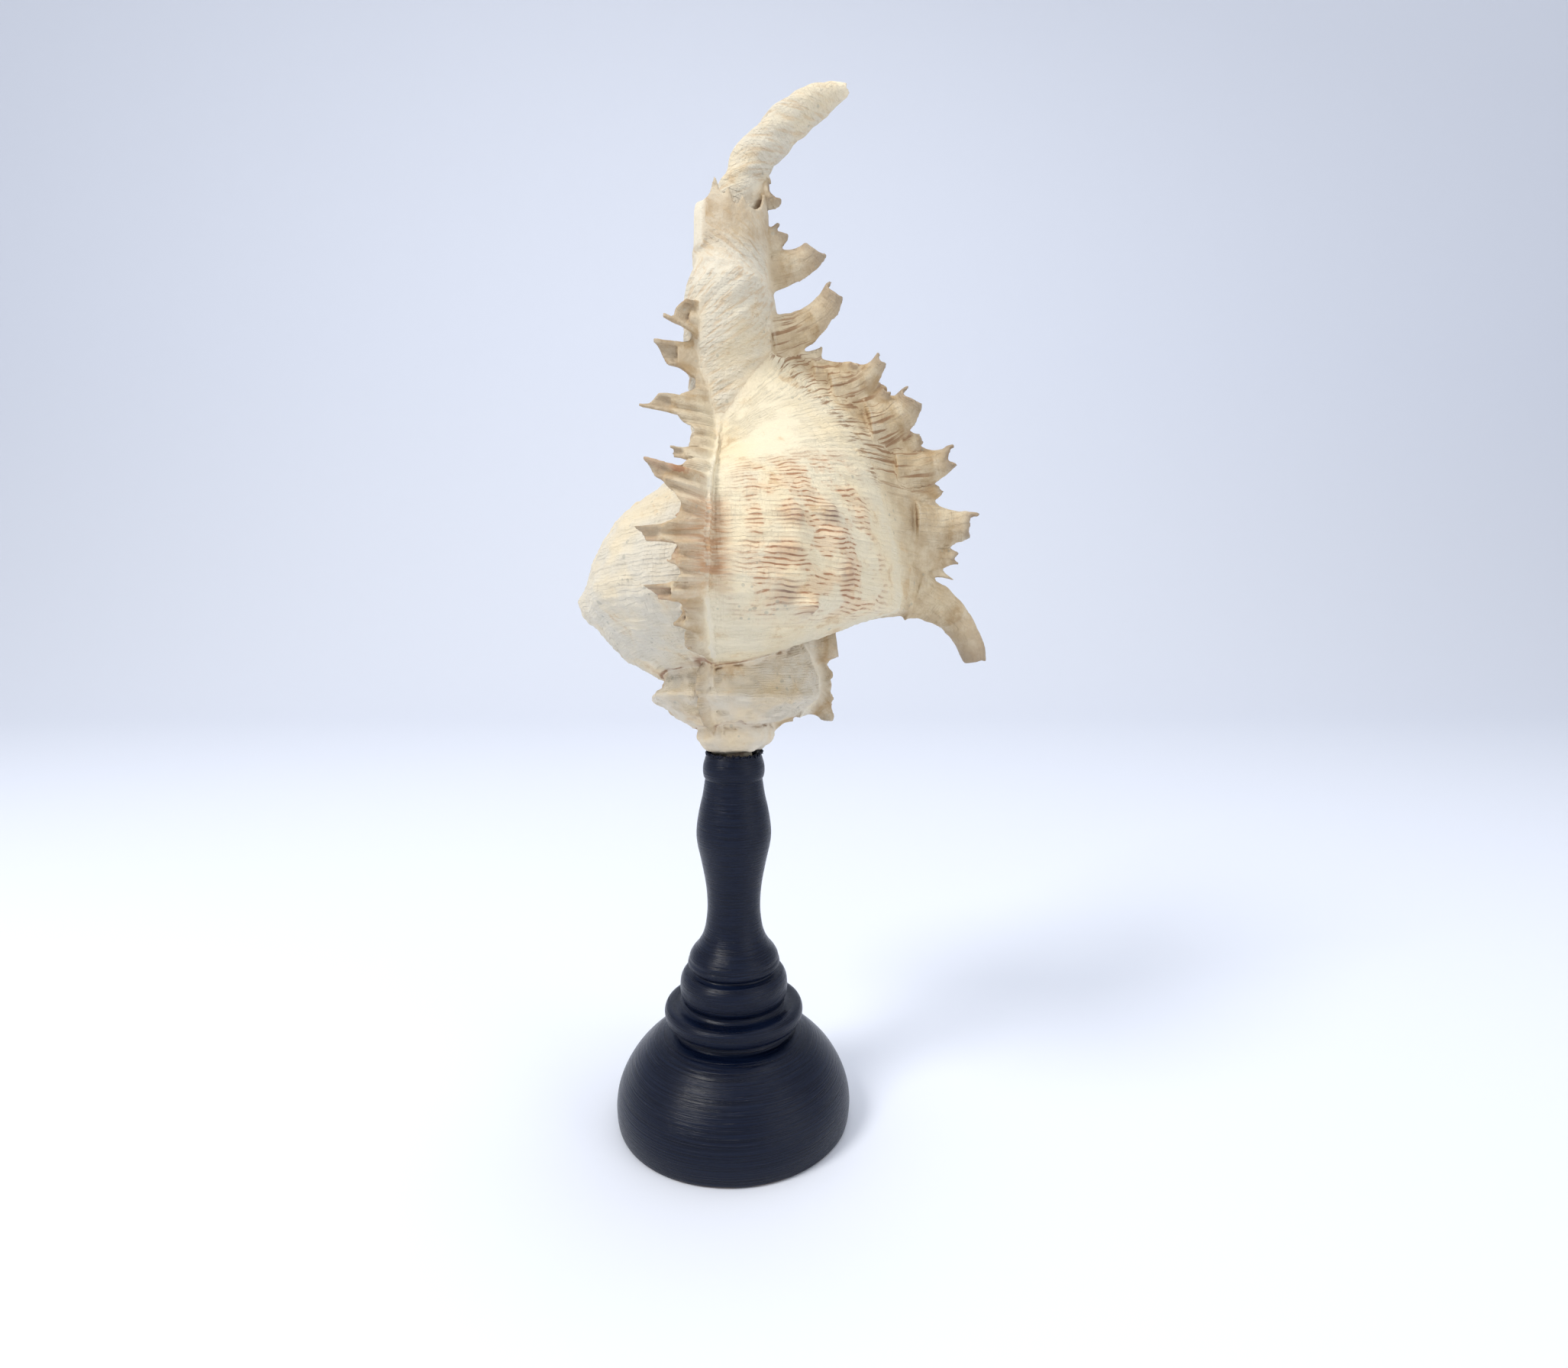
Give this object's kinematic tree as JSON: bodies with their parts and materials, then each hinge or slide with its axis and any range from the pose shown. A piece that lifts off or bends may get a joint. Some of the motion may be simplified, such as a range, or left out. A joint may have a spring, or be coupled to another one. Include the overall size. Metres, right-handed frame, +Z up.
{
  "type": "mounted murex shell",
  "caption": "Large branched murex sea shell with frilled varices and a long bent canal, set spire down on a black turned wooden display stand.",
  "frame": {"origin": "centre of the flat underside of the stand's foot", "axes": "+Z up along the stand's turning axis, towards the tip of the shell's canal; +X towards the outer lip with its row of fronds; +Y is the side that the aperture opens to; -Y is the side seen in the picture"},
  "size_m": [0.1153, 0.0845, 0.2923],
  "materials": {
    "shell": "matte",
    "black_painted_wood": "satin"
  },
  "bodies": {
    "root": {"murex_shell": "shell", "turned_stand": "black_painted_wood"}
  },
  "joints": []
}
